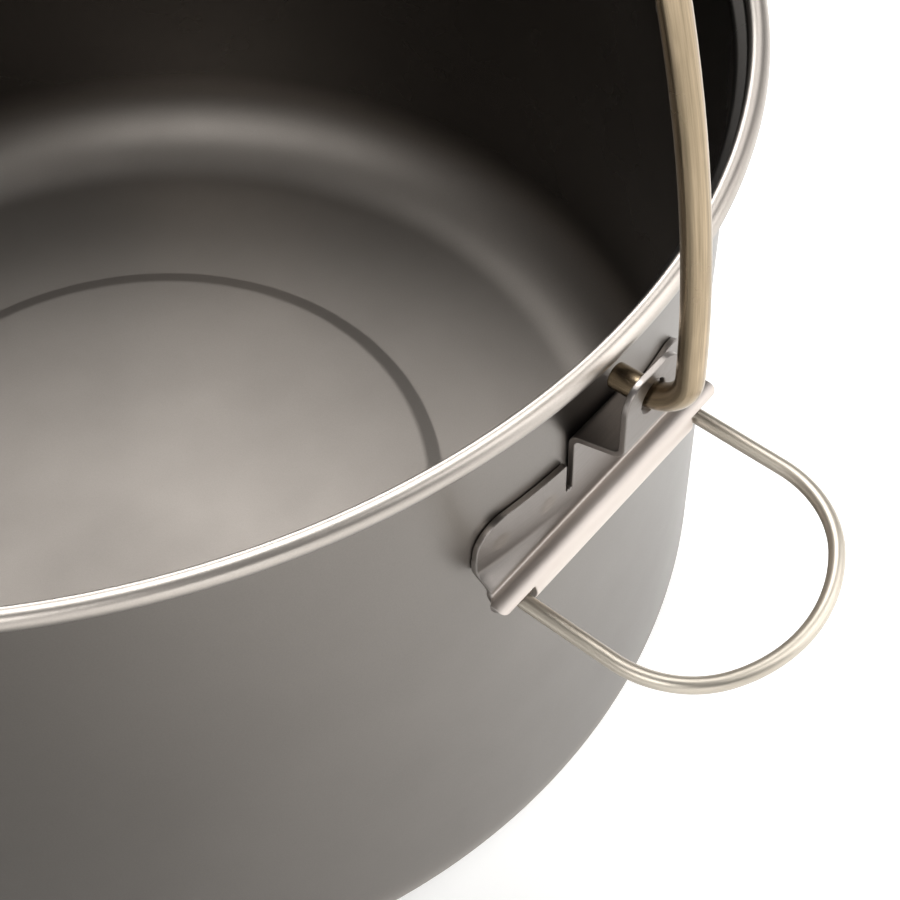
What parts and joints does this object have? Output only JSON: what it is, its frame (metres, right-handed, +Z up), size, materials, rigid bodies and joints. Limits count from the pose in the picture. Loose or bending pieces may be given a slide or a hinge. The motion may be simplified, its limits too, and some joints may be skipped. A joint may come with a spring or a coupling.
{
  "type": "camping cook pot",
  "caption": "Open deep-drawn metal camping pot with a rolled rim, a hinged wire bail and fold-out D-shaped wire grips on welded sheet brackets.",
  "frame": {"origin": "centre of the pot's base, on the surface that it stands on", "axes": "+Z up along the pot's axis; +X towards the right-hand bracket, so X is the bail's hinge direction; the bail stands upright in the XZ plane"},
  "size_m": [0.2354, 0.1824, 0.2253],
  "materials": {
    "pot": "satin",
    "bracket": "satin",
    "grip_wire": "satin",
    "bail_wire": "satin"
  },
  "bodies": {
    "pot": {"pot_body": "pot", "bracket_right": "bracket", "bracket_left": "bracket"},
    "bail": {"bail": "bail_wire"},
    "grip_right": {"grip_loop_right": "grip_wire"},
    "grip_left": {"grip_loop_left": "grip_wire"}
  },
  "joints": [
    {"name": "bail_hinge", "type": "hinge", "parent": "pot", "child": "bail", "pos_m": [0, 0, 0.0919], "axis": [1, 0, 0], "range_deg": [-130, 130]},
    {"name": "grip_hinge_right", "type": "hinge", "parent": "pot", "child": "grip_right", "pos_m": [0.08975, 0, 0.0707], "axis": [0, 1, 0], "range_deg": [-3, 87]},
    {"name": "grip_hinge_left", "type": "hinge", "parent": "pot", "child": "grip_left", "pos_m": [-0.08975, 0, 0.0707], "axis": [0, -1, 0], "range_deg": [-3, 87]}
  ]
}
